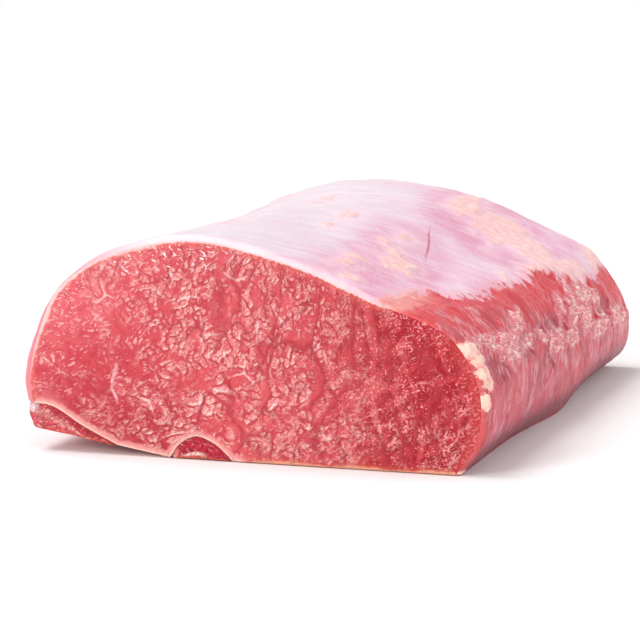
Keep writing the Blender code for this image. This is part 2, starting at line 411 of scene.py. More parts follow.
# Fat at the right rim of the near cut
EDGE_LUMPS = blots(
    (3, 168, 5.5, 3, 15), (5.5, 171.5, 5, 3, -10), (4.5, 175, 4.5, 3, 5), (5, 178.2, 3.6, 2.6, 0),
    (0.5, 183, 2.2, 2.4, 0), (1, 207, 2.8, 3, 0), (2, 211.5, 4.5, 2.6, 0),
)


def blot_depth(blot, along, girth):
    """How deep inside a blot each point lies, in millimetres; negative outside."""
    turn = math.radians(blot.turn)
    off_along, off_girth = along - blot.along, girth - blot.girth
    a = (off_along * math.cos(turn) + off_girth * math.sin(turn)) / blot.half_along
    b = (off_girth * math.cos(turn) - off_along * math.sin(turn)) / blot.half_girth
    return (1 - np.hypot(a, b)) * min(blot.half_along, blot.half_girth)


def deepest(blots, along, girth):
    return np.max([blot_depth(blot, along, girth) for blot in blots], axis=0)


# The roast

# Places in the grain's map where the far cut and the underside start, clear of the rest
FAR_CUT_SHIFT = 310 * MM
UNDER_SHIFT = 330 * MM


def place_of_frame():
    """Step from the sections' own places to the frame, read off the strip whose solid is smooth."""
    low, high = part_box("finger_strip_middle")
    strip = np.concatenate([middle_strip_line(place, 1, MIDDLE_SOLID) for place in ring_places()])
    across = (strip[:, 0].min() + strip[:, 0].max()) / 2
    return np.array([(low[0] + high[0]) / 2 - across, (low[1] + high[1]) / 2 - LENGTH / 2, low[2]])


def middle_strip_line(place, up, ends=MIDDLE_SHOWN):
    """Points across the middle strip in the section at that place, from its flat base to its top."""
    shares = np.linspace(*ends, STRIP_COLUMNS + 1)
    top = Section(place / LENGTH).under_at(shares) - (0, GAP)
    return top * (1, up)


def edge_strip_line(place, up):
    """Points across the edge strip in the section at that place, from its underside to its top."""
    shares = np.linspace(0, 1, STRIP_COLUMNS + 1)
    top = Section(place / LENGTH).under_at(shares * LAST_EDGE) - (0, GAP)
    heel = np.array((top[0, 0] + HEEL_ROUND, HEEL_UP * CUT_HEIGHT))
    tip = np.array((top[-1, 0], HEEL_TIP_UP * CUT_HEIGHT))
    base = heel + (tip - heel) * shares[:, None]
    line = base + (top - base) * up
    line[0, 0] -= HEEL_ROUND / 2 * math.sin(math.pi * up)
    return line


def set_attribute(mesh, name, values):
    """Stores one number for each vertex, for the materials to read."""
    layer = mesh.attributes.new(name, "FLOAT", "POINT")
    layer.data.foreach_set("value", np.asarray(values, np.float32))


def bundles(spots):
    """Distance of each spot from the edge of its muscle bundle, and its side of it: -1 lit, 1 shaded.

    A spot is given in bundle lengths down the fan and bundle widths across it.
    """
    edges, sides = np.empty(len(spots)), np.empty(len(spots))
    for index, spot in enumerate(spots):
        near, *others = noise.voronoi(Vector(spot), distance_metric="DISTANCE", exponent=2.5)[1]
        gaps = []
        for other in others:
            step = other - near
            gaps.append((near + step / 2 - Vector(spot)).dot(step.normalized()))
        edges[index] = min(gaps)
        off = Vector(spot) - near
        sides[index] = off.x * 0.9 + off.y * 1.5
    return edges * BUNDLE_WIDTH, np.clip(sides, -1, 1)


def cut_surface(across, up, shares, seed, bundle_height):
    """Height of a cut face at points in metres, with each point's place on its muscle bundle."""
    reach, arc = fan(across, up)
    spots = np.stack([reach, arc, 0 * arc], -1)
    rim = (1 - (2 * shares[0] - 1) ** 2) * (1 - (2 * shares[1] - 1) ** 2)
    inside = np.clip(7 * rim, 0, 1)
    wander = np.stack([heights(spots, WANDER_SIZE, 2, seed + shift) for shift in (0, 31)], -1)
    pushed = np.stack([
        (reach + WANDER_DOWN * wander[:, 0]) / BUNDLE_LENGTH,
        (arc + WANDER_ACROSS * wander[:, 1]) * (1 + 0.8 * ramp(arc, *BUNDLES_NARROW)) / BUNDLE_WIDTH,
        0 * arc + 0.5 * seed,
    ], -1)
    edge, side = bundles(pushed)
    shown = ramp(across, *BUNDLES_COME)
    shown = shown * (1 - 0.3 * ramp(across, *BUNDLES_EASE) * ramp(up, *UPPER_PART))
    shown = shown * ease(1.5 * heights(spots, BARE_PATCH_SIZE, 2, seed + 5) + 1.1) * inside

    middle, bumpy = ramp(across, *LUMPS_GROW), ramp(across, *BUMPS_COME)
    hills = []
    for step in (0, LIT_STEP):
        lumps = heights(spots + step, LUMP_SIZE, 3, seed + 9) * (0.5 + 0.5 * middle)
        bumps = heights(spots + step, BUMP_SIZE, 2, seed + 13) * bumpy
        hills.append(LUMP_HEIGHT * lumps + BUMP_HEIGHT * bumps)
    # How far each point faces the light, for the cut's painted light and shade
    lit = np.clip((hills[0] - hills[1]) / LIT_RISE, -1, 1) * inside
    domes = (ease(edge / BUNDLE_FLANK) - 0.5) * shown
    height = CUT_BULGE * rim + hills[0] * inside + bundle_height * domes
    return height, edge, side, shown, lit


def lay_on_sections(shares):
    """Places in metres, girth and ring distance of the block's vertices on the sections."""
    whole = ring_places()
    places = np.interp(np.arange(0, len(whole) - 0.5, 0.5), np.arange(len(whole)), whole)
    rings = np.round(shares[:, 1] * (len(places) - 1)).astype(int)
    points, girths = np.zeros((len(shares), 3)), np.zeros(len(shares))
    for ring, place in enumerate(places):
        chosen = rings == ring
        section, inset = Section(place / LENGTH), edge_inset(place)
        across, up = shares[chosen, 0], shares[chosen, 2]
        laid = section.at(
            across + (1 - 2 * across) * inset / CUT_WIDTH,
            up + (1 - 2 * up) * inset / CUT_HEIGHT * np.where(up < 0.5, UNDER_ROUND, 1),
        )
        points[chosen] = np.stack([laid[:, 0], np.full(len(laid), place), laid[:, 1]], -1)
        girths[chosen] = section.girth_at(across, up)
    return points, girths, rings, places


def divide_shown(bm):
    """Divides the near end and the right wall of the block once more, for their fine relief."""
    shown = [face for face in bm.faces if face.normal.y < -0.9 or face.normal.x > 0.9]
    edges = list({edge for face in shown for edge in face.edges})
    bmesh.ops.subdivide_edges(bm, edges=edges, cuts=1, use_grid_fill=True)


def distance_to_outline(points, outline):
    """Distance of each point of a cut from its outline, and the index of the nearest outline point."""
    distance, nearest = np.empty(len(points)), np.empty(len(points), int)
    for start in range(0, len(points), 2000):
        gaps = np.hypot(*(points[start:start + 2000, None] - outline[None]).transpose(2, 0, 1))
        nearest[start:start + 2000] = gaps.argmin(1)
        distance[start:start + 2000] = gaps.min(1)
    return distance, nearest


def outside_regions(along, girth):
    """How deep inside each region of the outside the points lie, in millimetres; negative outside it."""
    return {
        "skin": along_line(SKIN_EDGE, along) - girth,
        "film": girth - along_line(FILM_EDGE, along),
        "foot": girth - along_line(FOOT_EDGE, along),
        "fat": deepest(FAT_PATCHES + FAT_FLECKS, along, girth),
        "crumb": deepest(CRUMBS, along, girth),
        "dark": deepest(DARK_WINDOWS, along, girth),
        "bright": deepest(BRIGHT_MUSCLE, along, girth),
        "lump": deepest(EDGE_LUMPS, along, girth),
    }


def wall_relief(regions, along, girth, from_cut, crumb_rise):
    """Height of the outside over its sections, in millimetres."""
    spots = np.stack([along, girth * 0.7, 0 * girth], -1)
    ragged = heights(spots, RAGGED_SIZE, 3)
    lumps = heights(spots, FINE_LUMP_SIZE, 3, 11)
    crumbly = np.clip(0.6 + 1.6 * lumps, 0, 1.7) * np.clip(from_cut / CRUMBS_FADE, 0.3, 1)
    relief = SKIN_RISE * ease((regions["skin"] + 2.5 * ragged) / 2.5 + 0.5)
    relief += FAT_RISE * ease(regions["fat"] / 2.0 + 0.3 + 0.6 * ragged)
    relief += crumb_rise * ease(regions["crumb"] / 2.0 + 0.5) * crumbly
    relief += LUMP_RISE * ease(regions["lump"] / 3.0 + 0.2 + 0.6 * lumps)
    relief -= WINDOW_DROP * ease(regions["dark"] / 2.0 + 0.5)
    return relief + WRINKLE_RISE * ragged + SIDE_GRAIN_RISE * lumps * (regions["skin"] < 0)


def move_along_normals(bm, points, steps):
    """The points, each a step out along its normal on the mesh that they make."""
    for vert, point in zip(bm.verts, points):
        vert.co = point
    bm.normal_update()
    return points + np.array([vert.normal for vert in bm.verts]) * steps[:, None]


def finished_mesh(name, bm, points, fields):
    """Ends a piece: its vertices in the frame, and its fields for the materials."""
    for vert, point in zip(bm.verts, points):
        vert.co = point
    mesh = bpy.data.meshes.new(name)
    bm.to_mesh(mesh)
    bm.free()
    for field, values in fields.items():
        set_attribute(mesh, field, values)
    mesh.shade_smooth()
    return mesh


def build_loin(look):
    """The main muscle, with its fields stored for the materials."""
    bm = grid_block(COLUMNS, ROWS, len(ring_places()) - 1)
    bm.normal_update()
    divide_shown(bm)
    shares = np.array([vert.co for vert in bm.verts], float)
    points, girths, rings, places = lay_on_sections(shares)
    last = len(places) - 1
    on_rim = (np.minimum(shares, 1 - shares)[:, [0, 2]] < 1e-5).any(1)
    on_under = shares[:, 2] < 1e-5
    along, girth = points[:, 1] / MM, girths / MM
    from_cut = np.minimum(along, LENGTH / MM - along)
    between_cuts = (rings > 0) & (rings < last)

    regions = outside_regions(along, girth)
    for region in regions.values():
        region[on_under] = OFF_THE_OUTSIDE
    edge, side, shown, lit, depth = np.zeros((5, len(shares)))
    under = on_under.astype(float)
    for ring, outward in ((0, -1), (last, 1)):
        face = np.flatnonzero(rings == ring)
        rim = np.flatnonzero((rings == ring) & on_rim)
        height, edge[face], side[face], shown[face], lit[face] = cut_surface(
            points[face, 0], points[face, 2], shares[face][:, [0, 2]].T, 3 + ring, look.bundles,
        )
        points[face, 1] += outward * height
        distance, nearest = distance_to_outline(points[face][:, [0, 2]], points[rim][:, [0, 2]])
        depth[face] = distance / MM
        for field in (*regions.values(), under):
            field[face] = field[rim[nearest]]
    depth[between_cuts] = -from_cut[between_cuts]

    wall = between_cuts & ~on_under
    walled = {name: region[wall] for name, region in regions.items()}
    relief = np.zeros(len(shares))
    relief[wall] = wall_relief(walled, along[wall], girth[wall], from_cut[wall], look.crumbs / MM)
    points = move_along_normals(bm, points, relief * MM * np.clip(from_cut / RELIEF_FADE, 0.15, 1))

    reach, arc = fan(points[:, 0], points[:, 2])
    points += place_of_frame()
    points[:, 2] = np.maximum(points[:, 2], 0)
    grain = bm.loops.layers.uv.new("grain")
    for face in bm.faces:
        ends = {rings[vert.index] for vert in face.verts}
        face.material_index = int(ends == {0} or ends == {last})
        below = all(on_under[vert.index] for vert in face.verts)
        for loop in face.loops:
            index = loop.vert.index
            if face.material_index:
                loop[grain].uv = (reach[index], arc[index] + FAR_CUT_SHIFT * (rings[index] > 0))
            elif below:
                loop[grain].uv = (UNDER_SHIFT - points[index, 0], points[index, 1] + LENGTH / 2)
            else:
                loop[grain].uv = (girths[index], along[index] * MM)
    return finished_mesh("loin_roast", bm, points, {
        **regions, "depth": depth, "under": under,
        "bundle_edge": edge / MM, "bundle_side": side, "bundled": shown, "lit": lit,
    })


def build_strip(name, line_at, seed):
    """A strip of dark side muscle between its base and its top, with the fields of its materials."""
    places = ring_places()
    bm = grid_block(STRIP_COLUMNS, STRIP_ROWS, len(places) - 1)
    shares = np.array([vert.co for vert in bm.verts], float)
    rings = np.round(shares[:, 1] * (len(places) - 1)).astype(int)
    columns = np.round(shares[:, 0] * STRIP_COLUMNS).astype(int)
    rows = np.round(shares[:, 2] * STRIP_ROWS).astype(int)
    points = np.zeros((len(shares), 3))
    for ring, place in enumerate(places):
        grid = np.array([line_at(place, row / STRIP_ROWS) for row in range(STRIP_ROWS + 1)])
        middle = grid[STRIP_ROWS // 2, STRIP_COLUMNS // 2]
        inward = middle - grid
        reach = np.maximum(np.linalg.norm(inward, axis=-1, keepdims=True), 1e-9)
        rounding = STRIP_INSET * np.linspace(1, 0.15, STRIP_ROWS + 1)[:, None, None]
        grid = grid + inward / reach * rounding * np.minimum(edge_inset(place), reach)
        chosen = rings == ring
        laid = grid[rows[chosen], columns[chosen]]
        points[chosen] = np.stack([laid[:, 0], np.full(len(laid), place), laid[:, 1]], -1)
    cut = (rings == 0) | (rings == len(places) - 1)
    points += place_of_frame()
    lumps = heights(points / MM * (1, 0.35, 1), FINE_LUMP_SIZE, 3, seed)
    steps = np.where(cut, STRIP_CUT_GRAIN, STRIP_SIDE_GRAIN) * (cut | (columns == 0)) * (lumps - 0.6)
    points = move_along_normals(bm, points, steps * MM)
    grain = bm.loops.layers.uv.new("grain")
    for face in bm.faces:
        on_cut = all(cut[vert.index] for vert in face.verts)
        for loop in face.loops:
            x, y, z = points[loop.vert.index]
            loop[grain].uv = (x, z) if on_cut else (x + z, y)
    return finished_mesh(name, bm, points, {"across": shares[:, 0], "up": shares[:, 2]})


# Shader maths and nodes


def maths_operator(operation, reflected=False):
    """One of Python's operators on signals, as a Math node."""
    def apply(signal, other):
        values = (other, signal) if reflected else (signal, other)
        return signal.finish.maths(operation, *values)

    return apply


class Signal:
    """An output of a material's nodes. Python's operators on it add Math nodes."""

    def __init__(self, finish, socket):
        self.finish = finish
        self.socket = socket

    __add__ = __radd__ = maths_operator("ADD")
    __mul__ = __rmul__ = maths_operator("MULTIPLY")
    __sub__ = maths_operator("SUBTRACT")
    __rsub__ = maths_operator("SUBTRACT", reflected=True)
    __truediv__ = maths_operator("DIVIDE")
    __rtruediv__ = maths_operator("DIVIDE", reflected=True)

    def __abs__(self):
        return self.finish.maths("ABSOLUTE", self)

    def rise(self, low, high):
        """Smooth rise from 0 where the value is low to 1 where it is high."""
        ends = {"Value": self, "From Min": low, "From Max": high, "To Min": 0.0, "To Max": 1.0}
        return self.finish.node("MapRange", {"interpolation_type": "SMOOTHSTEP"}, ends)

    def fall(self, low, high):
        return 1 - self.rise(low, high)

    def part(self, axis):
        return self.finish.node("SeparateXYZ", {}, {0: self}, axis)

    def moved(self, step):
        return self.finish.node("VectorMath", {"operation": "ADD"}, {0: self, 1: step})

    def noise(self, scale, detail=3.0, roughness=0.55, output="Fac"):
        """Cloudy noise at this place, with so many clouds to the metre."""
        values = {"Vector": self, "Scale": scale, "Detail": detail, "Roughness": roughness}
        return self.finish.node("TexNoise", {"noise_dimensions": "3D"}, values, output)

    def warped(self, scale, amount):
        """This place, pushed about by noise of that scale."""
        push = self.noise(scale, 2.0, output="Color")
        centred = self.finish.node("VectorMath", {"operation": "SUBTRACT"}, {0: push, 1: (0.5, 0.5, 0.5)})
        scaled = self.finish.node("VectorMath", {"operation": "SCALE"}, {0: centred, "Scale": amount})
        return self.moved(scaled)

    def ridges(self, scale, detail, roughness=0.5):
        """Noise of thin crests with wide hollows between them."""
        settings = {"noise_dimensions": "3D", "noise_type": "RIDGED_MULTIFRACTAL"}
        values = {"Vector": self, "Scale": scale, "Detail": detail, "Roughness": roughness}
        return self.finish.node("TexNoise", settings, {**values, "Offset": 1.0, "Gain": 2.0}, "Fac")

    def ridge_light(self, size, step, detail=1.0, roughness=0.5):
        """Ridges of that size, and how much higher they are a step away: the light on one slope."""
        crests = self.ridges(1 / size, detail, roughness)
        return crests, self.moved(step).ridges(1 / size, detail, roughness) - crests

    def cell_edge(self, scale):
        """Distance to the edge between cells, as a share of their size."""
        settings = {"voronoi_dimensions": "2D", "feature": "DISTANCE_TO_EDGE"}
        return self.finish.node("TexVoronoi", settings, {"Vector": self, "Scale": scale}, "Distance")


class Finish:
    """The nodes of a material or of the surroundings, built up from signals."""

    def __init__(self, owner):
        owner.use_nodes = True
        self.owner = owner
        self.tree = owner.node_tree
        self.tree.nodes.clear()

    def node(self, kind, settings, inputs, output=0):
        """Adds a node, makes its settings, then feeds its sockets with values or signals."""
        made = self.tree.nodes.new("ShaderNode" + kind)
        for name, value in settings.items():
            setattr(made, name, value)
        for name, value in inputs.items():
            if isinstance(value, Signal):
                self.tree.links.new(value.socket, made.inputs[name])
            else:
                made.inputs[name].default_value = value
        return Signal(self, made.outputs[output])

    def maths(self, operation, *values):
        return self.node("Math", {"operation": operation}, dict(enumerate(values)))

    def most(self, *values):
        return self.maths("MAXIMUM", *values)

    def attribute(self, name):
        return self.node("Attribute", {"attribute_name": name}, {}, "Fac")

    def places(self):
        """The two distances in metres that the grain's map holds."""
        flat = self.node("UVMap", {"uv_map": "grain"}, {})
        return flat.part("X"), flat.part("Y")

    def object_place(self):
        return self.node("TexCoord", {}, {}, "Object")

    def vector(self, x, y, z=0.0):
        return self.node("CombineXYZ", {}, {"X": x, "Y": y, "Z": z})

    def blend(self, factor, first, second):
        """The first colour where the factor is 0, the second where it is 1."""
        return self.node("Mix", {"data_type": "RGBA"}, {0: factor, 6: first, 7: second}, 2)

    def bump(self, height, distance):
        return self.node("Bump", {}, {"Height": height, "Distance": distance, "Strength": 1.0})

    def finished(self, output_kind, shader):
        """Joins the shader to the output, and gives back the material or the surroundings."""
        output = self.tree.nodes.new("ShaderNode" + output_kind)
        self.tree.links.new(shader.socket, output.inputs["Surface"])
        return self.owner

    def surface(self, inputs):
        """Ends the material with its shader."""
        return self.finished("OutputMaterial", self.node("BsdfPrincipled", {}, inputs))


def tone(red, green, blue):
    """A colour for a socket, from its display values out of 255."""
    def linear(value):
        share = value / 255
        return share / 12.92 if share <= 0.04045 else ((share + 0.055) / 1.055) ** 2.4

    return (linear(red), linear(green), linear(blue), 1.0)


def painted(finish, base, layers):
    """Lays colours over a base one after another, each with its own mask."""
    colour = base
    for mask, layer in layers:
        colour = finish.blend(mask, colour, layer)
    return colour


# Materials of the roast

# Sizes of the finer marks on the meat, each about as long as one mark
GRIT_SIZE = 0.6 * MM
CRACK_SIZE = 3 * MM
FINE_CRACK_SIZE = 1.5 * MM
SEAM_SIZE = 9 * MM
SPECK_SIZE = 0.64 * MM
STROKE_SIZE = 3.4 * MM
CLUSTER_SIZE = 4.2 * MM
GLINT_SIZE = 1.5 * MM
DASH_SIZE = 0.62 * MM
VEIN_NET_SIZE = 16 * MM
HAIR_SIZE = 5 * MM
NET_SIZE = 3.4 * MM
CRUMB_SIZE = 1.7 * MM
EDGE_SPECK_SIZE = 1.5 * MM
MIDDLE_SPECK_SIZE = 1.6 * MM
STRIP_LIT_STEP = (0.10 * MM, 0.20 * MM, 0)

# Heights of the relief that is too fine for the meshes
CUT_BUMP = 0.40 * MM
SKIN_BUMP = 0.45 * MM
STRIP_BUMP = 0.35 * MM

# Stars of marbling on the near cut: places across and up in the frame, and their turn
MARBLING_STARS = [((-48 * MM, 46.5 * MM), 0.4), ((-34.5 * MM, 16.5 * MM), 1.9), ((-6 * MM, 26 * MM), 1.1)]

# Middle of the scratch in the silverskin, along the roast and round its back
SCRATCH_ALONG = 88 * MM
SCRATCH_GIRTH = 131.3 * MM


def seeping(radius, scale):
    """Settings for light that seeps into the meat, reddest the deepest."""
    return {"Subsurface Weight": 0.12, "Subsurface Radius": radius, "Subsurface Scale": scale}


def star(finish, level, upright, spot, turn, clumps, mottle):
    """Mask of a small star with three ragged arms."""
    off_level = level - spot[0] + (clumps - 0.5) * 3 * MM
    off_up = upright - spot[1] + (mottle - 0.5) * 2 * MM
    reach = finish.maths("SQRT", off_level * off_level + off_up * off_up)
    angle = finish.maths("ARCTAN2", off_up, off_level) * 1.5 + turn
    aside = abs(finish.maths("SINE", angle)) * reach
    return aside.fall(0.1 * MM, 0.55 * MM) * reach.fall(1.5 * MM, 5.5 * MM)


def cut_rim(finish, colour, grain, across, height, depth):
    """Paler and redder lines where the cut meets the silverskin, the seam, the underside and the side."""
    wobble = (grain.noise(700, 3) - 0.5) * 1.2
    wide = (grain.noise(90, 2) - 0.5) * 3
    ragged = depth + wobble
    torn = ragged + wide
    skin = finish.attribute("skin").rise(-1.5, 1.5)
    left = skin * across.fall(0.15, 0.40) * height.rise(0.30, 0.62)
    under = finish.attribute("under").rise(0.4, 0.6)
    seam = under * across.fall(0.44, 0.47)
    right = across.rise(0.80, 0.95) * (1 - under)
    return painted(finish, colour, [
        (torn.fall(1.0, 5.0) * right * 0.4, tone(218, 84, 80)),
        (ragged.fall(1.1, 1.9) * skin * 0.4, tone(232, 112, 96)),
        (torn.fall(0.5, 1.2) * left, tone(248, 200, 194)),
        (ragged.fall(0.2, 0.6) * skin * height.rise(0.2, 0.6), tone(246, 206, 204)),
        ((depth + wobble * 2 + across * 60).fall(3.5, 8.0) * seam * 0.45, tone(226, 116, 122)),
        ((depth + wobble * 1.2).fall(1.0, 2.4) * seam * 0.8, tone(244, 164, 160)),
        ((depth + wobble * 0.5).fall(0.3, 0.9) * seam * 0.8, tone(251, 208, 194)),
        (torn.fall(0.4, 2.0) * (under - seam) * 0.5, tone(216, 100, 76)),
        (torn.fall(0.2, 0.9) * (under - seam) * 0.8, tone(240, 178, 146)),
    ])


def cut_lean_finish(look):
    """Wet cut meat: smooth coral at the left, crinkled pink in the middle and crimson at the right, with
    painted highlights and painted shade on its relief.
    """
    finish = Finish(bpy.data.materials.new("cut_lean"))
    reach, arc = finish.places()
    grain = finish.vector(reach, arc)
    place = finish.object_place()
    level, upright = place.part("X"), place.part("Z")
    across, height = level / CUT_WIDTH + 0.5, upright / CUT_HEIGHT
    edge, bundle_side, bundled = map(finish.attribute, ("bundle_edge", "bundle_side", "bundled"))
    depth, slope = map(finish.attribute, ("depth", "lit"))

    patches = grain.noise(55, 3)
    crowds = grain.noise(120, 3, 0.6)
    clumps = grain.noise(190, 3, 0.6)
    mottle = grain.noise(420, 3)
    grit = grain.noise(1 / GRIT_SIZE, 2)
    side = across + (patches - 0.5) * 0.30
    crimson = (side + (height - 0.5) * 0.10).rise(0.50, 0.86)
    crinkled = side.rise(0.06, 0.34)
    right = side.rise(0.56, 0.80)

    # Bundles: smooth and in painted shade on the side turned from the light, with a painted shaded crease
    # below it, and painted light on the other side
    off_edge = edge + (mottle - 0.5) * 0.9
    shaded_smooth_band = (edge + (clumps - 0.5) * 5).fall(0.6, 1.9) * bundle_side.rise(0.05, 0.45) * bundled
    crease_shade = off_edge.fall(0.15, 0.75) * (bundle_side + clumps * 0.6).rise(-0.3, 0.3) * bundled
    soft_edge = edge + (clumps - 0.5) * 3
    fold_shade = soft_edge.fall(0.2, 2.4) * bundle_side.rise(-0.1, 0.5) * bundled * right
    swell_light = abs(soft_edge - 1.8).fall(0.2, 1.6) * bundle_side.fall(-0.5, 0.1) * bundled * right

    # Crinkles: pale tops, partly their own colour and partly painted highlight, parted by two nets of
    # fine cracks
    pushed = grain.warped(170, 3 * MM).warped(900, 0.7 * MM)
    cracks, crack_light = pushed.ridge_light(CRACK_SIZE, (0.16 * MM, 0.22 * MM, 0))
    fine_pushed = grain.warped(900, 0.5 * MM)
    fine_cracks, fine_light = fine_pushed.ridge_light(FINE_CRACK_SIZE, (0.12 * MM, 0.16 * MM, 0))
    crack = finish.most(cracks.rise(0.90, 1.15), fine_cracks.rise(0.92, 1.15) * 0.6)
    filled = (clumps + (patches - 0.5) * 0.3 - (1 - crinkled) * 0.10).rise(0.38, 0.52) * (1 - shaded_smooth_band)
    filled = filled * (0.35 + 0.65 * crinkled) * (1 - right)
    tops = (1 - crack) * filled
    # Painted highlights on one slope of each crack
    lit = finish.most(crack_light.rise(0.10, 0.26), fine_light.rise(0.16, 0.36))
    lit = lit * filled * (1 - crack * 0.7)

    # Broken seams between the crinkles, painted dark as shade in their grooves
    seams = finish.vector(reach * 0.45, arc).warped(160, 2.2 * MM).ridges(1 / SEAM_SIZE, 0.0)
    broken = grain.noise(120, 2).rise(0.42, 0.54) * crinkled * (1 - right)
    seam = seams.rise(0.90, 0.97) * broken

    # Painted highlights: specks of wet light, and short strokes of it that lean up to the right
    speck_noise = grain.warped(600, 0.8 * MM).noise(1 / SPECK_SIZE, 1.0)
    specks = (speck_noise + (crowds - 0.5) * 0.4 - right * 0.01).rise(0.56, 0.61) * (1 - shaded_smooth_band * 0.9)
    specks = specks * side.rise(0.36, 0.56) * (0.35 + 0.65 * slope.rise(-0.3, 0.3))
    rising = finish.vector(level * 0.91 + upright * 0.41, (upright * 0.91 - level * 0.41) * 3.2)
    stroke_noise = rising.warped(200, 2.5 * MM).noise(1 / STROKE_SIZE, 1.5)
    stroke_highlights = (stroke_noise + (clumps - 0.5) * 0.25).rise(0.60, 0.65) * crowds.rise(0.44, 0.54)
    stroke_highlights = stroke_highlights * right * (1 - shaded_smooth_band)

    # Painted highlights on clusters of small wet ridges at the foot of the right side
    wormy = grain.warped(300, 1.8 * MM)
    worm_light = wormy.ridge_light(CLUSTER_SIZE, (0.10 * MM, 0.26 * MM, 0), 2.0, 0.7)[1]
    low = (height + (clumps - 0.5) * 0.5).fall(0.14, 0.34) * side.rise(0.42, 0.55)
    low = low * across.fall(0.90, 0.97) * (1 - shaded_smooth_band) * crowds.rise(0.40, 0.54)
    ridge_highlights = worm_light.rise(0.02, 0.28) * low

    # Wet glints below the upper rim, left of the middle
    flat_strokes = finish.vector(reach * 1.6, arc * 0.6).warped(300, 1.2 * MM).noise(1 / GLINT_SIZE, 1.0)
    glinting = (height + (crowds - 0.5) * 0.5 - abs(across - 0.27) * 0.9).rise(0.72, 0.90)
    glint = flat_strokes.rise(0.62, 0.67) * glinting

    # Short painted highlights with painted shade beside them, and stars and veins of marbling on the
    # smooth left
    leaning = finish.vector(reach * 0.5, arc + reach * 0.3).warped(130, 5 * MM).warped(500, 0.8 * MM)
    dashes = leaning.noise(1 / DASH_SIZE, 1.0)
    behind = leaning.moved((0.06 * MM, 0.16 * MM, 0)).noise(1 / DASH_SIZE, 1.0)
    crowded = side.fall(0.24, 0.44) * (0.4 + 0.6 * crowds.rise(0.42, 0.56))
    crowded = crowded * (0.45 + 0.55 * height.rise(0.22, 0.45))
    dash_highlight = (dashes + (crowds - 0.5) * 0.6).rise(0.59, 0.66) * crowded
    dash_shade = (behind - dashes).rise(0.05, 0.22) * crowded
    net = grain.warped(60, 10 * MM).warped(300, 1.5 * MM).cell_edge(1 / VEIN_NET_SIZE)
    vein = net.fall(0.0, 0.035) * grain.noise(95, 2).rise(0.52, 0.62) * (1 - right)
    for spot, turn in MARBLING_STARS:
        vein = finish.most(vein, star(finish, level, upright, spot, turn, clumps, mottle))

    # Lean, from rosy at the upper left to crimson at the right, then its marks
    rosy = (height - across * 0.5 + (crowds - 0.5) * 0.6).rise(0.30, 0.70)
    cloudy_height = height + (crowds - 0.5) * 0.4
    colour = painted(finish, tone(194, 54, 68), [
        (rosy, tone(224, 98, 108)),
        (side.rise(0.10, 0.40), (*look.coral, 1)),
        (patches.rise(0.35, 0.65) * 0.45, tone(222, 96, 104)),
        (clumps.fall(0.34, 0.50) * side.fall(0.2, 0.5) * 0.5, tone(192, 52, 66)),
        (cloudy_height.fall(0.16, 0.40) * across.fall(0.22, 0.42) * 0.75, tone(168, 34, 50)),
        (crimson * 0.95, (*look.crimson, 1)),
        (cloudy_height.fall(0.20, 0.50) * right * 0.35, tone(150, 0, 20)),
        (crowds.fall(0.34, 0.52) * crimson * 0.6, tone(158, 0, 22)),
        (mottle.rise(0.42, 0.70) * (0.25 - crimson * 0.2), tone(228, 110, 116)),
        # Painted shade on slopes of the lumps turned from the light, painted light on slopes that face it
        (slope.fall(-0.8, -0.1) * (0.15 + 0.35 * right), tone(150, 18, 36)),
        (slope.rise(0.1, 0.8) * (0.15 + 0.20 * right), tone(222, 82, 90)),
        # Painted shade and painted light on the bundles' two sides, and their smooth, shaded bands
        (fold_shade * 0.5, tone(154, 22, 38)),
        (swell_light * 0.4, tone(232, 108, 112)),
        (shaded_smooth_band * 0.35, tone(214, 86, 90)),
        # Pale tops, partly painted highlight, then painted highlights on their lit slopes
        (tops * (0.42 + 0.45 * grit.rise(0.40, 0.58)), (*look.crinkles, 1)),
        (lit * 0.9, tone(255, 212, 206)),
        # Painted highlights of the strokes, the specks and the small ridges
        (stroke_highlights * 0.65, tone(248, 156, 158)),
        (specks * 0.8, tone(250, 164, 166)),
        (ridge_highlights * 0.65, tone(250, 176, 172)),
        # Painted shade beside the short painted highlights of the smooth left
        (dash_shade * 0.35, tone(188, 48, 62)),
        (dash_highlight * 0.8, tone(248, 176, 174)),
        (vein * 0.70, tone(252, 212, 212)),
        # Painted shade in the seams and in the bundles' creases
        (finish.most(seam * 0.5, crease_shade * 0.6), tone(164, 30, 50)),
        # Painted shade in the cracks
        (cracks.rise(0.98, 1.25) * filled * 0.65, tone(182, 46, 60)),
        (glint * 0.95, tone(255, 242, 244)),
    ])

    relief = (1 - crack) * filled * 0.8 + (1 - seam) * 0.5 + stroke_highlights * 0.5 + specks * 0.4 + ridge_highlights * 0.6
    relief = relief + clumps * (1.2 - right * 0.6) + mottle * (0.6 - right * 0.3) + dash_highlight * 0.3
    return finish.surface({
        "Base Color": cut_rim(finish, colour, grain, across, height, depth),
        "Roughness": look.roughness + mottle * 0.10,
        "Normal": finish.bump(relief, CUT_BUMP),
        "Specular IOR Level": 0.25,
        **seeping((1.0, 0.25, 0.2), 1.5 * MM),
    })


